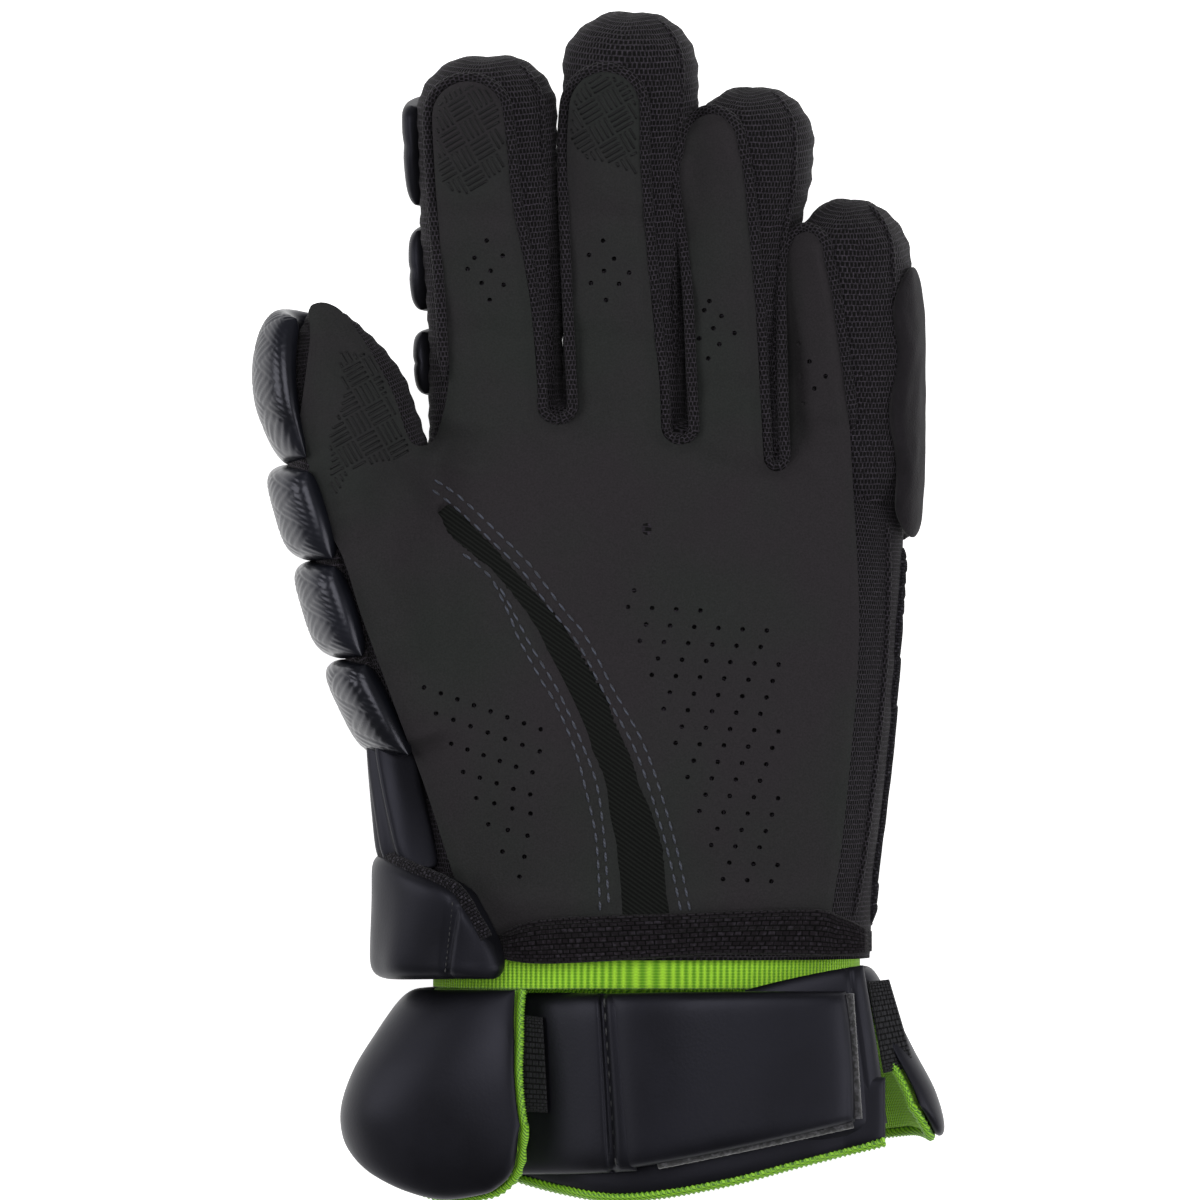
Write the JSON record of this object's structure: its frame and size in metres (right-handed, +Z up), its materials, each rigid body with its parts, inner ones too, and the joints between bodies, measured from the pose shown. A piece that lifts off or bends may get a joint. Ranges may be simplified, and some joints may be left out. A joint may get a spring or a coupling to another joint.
{
  "type": "lacrosse glove",
  "caption": "Padded left-hand lacrosse glove with a soft palm, separate fingers and thumb, segmented back pads, flared cuff and closed wrist strap.",
  "frame": {"origin": "centre of the part's outline in plan, at the lowest point, where the back of the glove rests on the floor", "axes": "+Y from the wrist to the fingertips, +Z up out of the palm, +X towards the little finger (the thumb is on -X)"},
  "size_m": [0.193, 0.3308, 0.0702],
  "materials": {
    "palm_leather": "matte goatskin-like synthetic leather",
    "woven_stretch": "matte diagonal twill, stretch woven",
    "gusset_mesh": "open knitted mesh",
    "hand_liner": "matte liner cloth",
    "knit_binding": "ribbed knit",
    "pad_cover": "satin coated cover over foam",
    "gloss_pad_cover": "glossy embossed coated cover over foam",
    "smooth_cover": "smooth satin cover over foam",
    "suede_panel": "soft napped synthetic suede",
    "elastic_webbing": "ribbed elastic webbing",
    "lining_mesh": "lime green ribbed lining mesh"
  },
  "bodies": {
    "root": {"palm_leather": "palm_leather", "crease_strip": "woven_stretch", "index_gusset": "gusset_mesh", "middle_gusset": "gusset_mesh", "ring_gusset": "gusset_mesh", "pinky_gusset": "gusset_mesh", "thumb_shell": "gusset_mesh", "hand_shell": "hand_liner", "palm_hem": "knit_binding", "index_pad_base": "pad_cover", "index_pad_mid": "pad_cover", "index_pad_tip": "pad_cover", "middle_pad_base": "pad_cover", "middle_pad_mid": "pad_cover", "middle_pad_tip": "pad_cover", "ring_pad_base": "pad_cover", "ring_pad_mid": "pad_cover", "ring_pad_tip": "pad_cover", "pinky_pad_base": "pad_cover", "pinky_pad_mid": "pad_cover", "pinky_pad_tip": "pad_cover", "back_pad_knuckle_1": "pad_cover", "back_pad_knuckle_2": "pad_cover", "back_pad_knuckle_3": "pad_cover", "back_pad_knuckle_4": "pad_cover", "back_pad_upper_1": "pad_cover", "back_pad_upper_2": "pad_cover", "back_pad_upper_3": "pad_cover", "back_pad_upper_4": "pad_cover", "back_pad_middle_1": "pad_cover", "back_pad_middle_2": "pad_cover", "back_pad_middle_3": "pad_cover", "back_pad_lower_1": "pad_cover", "back_pad_lower_2": "pad_cover", "thumb_pad_tip": "gloss_pad_cover", "thumb_pad_upper": "gloss_pad_cover", "thumb_pad_middle": "gloss_pad_cover", "thumb_pad_lower": "gloss_pad_cover", "thumb_side_panel": "smooth_cover", "wrist_wrap_pad": "smooth_cover", "wrist_back_pad": "smooth_cover", "cuff_shell": "smooth_cover", "wrist_strap": "smooth_cover", "strap_loop_panel": "smooth_cover", "pinky_side_panel": "suede_panel", "elastic_left": "elastic_webbing", "elastic_right": "elastic_webbing", "cuff_lining": "lining_mesh"}
  },
  "joints": []
}
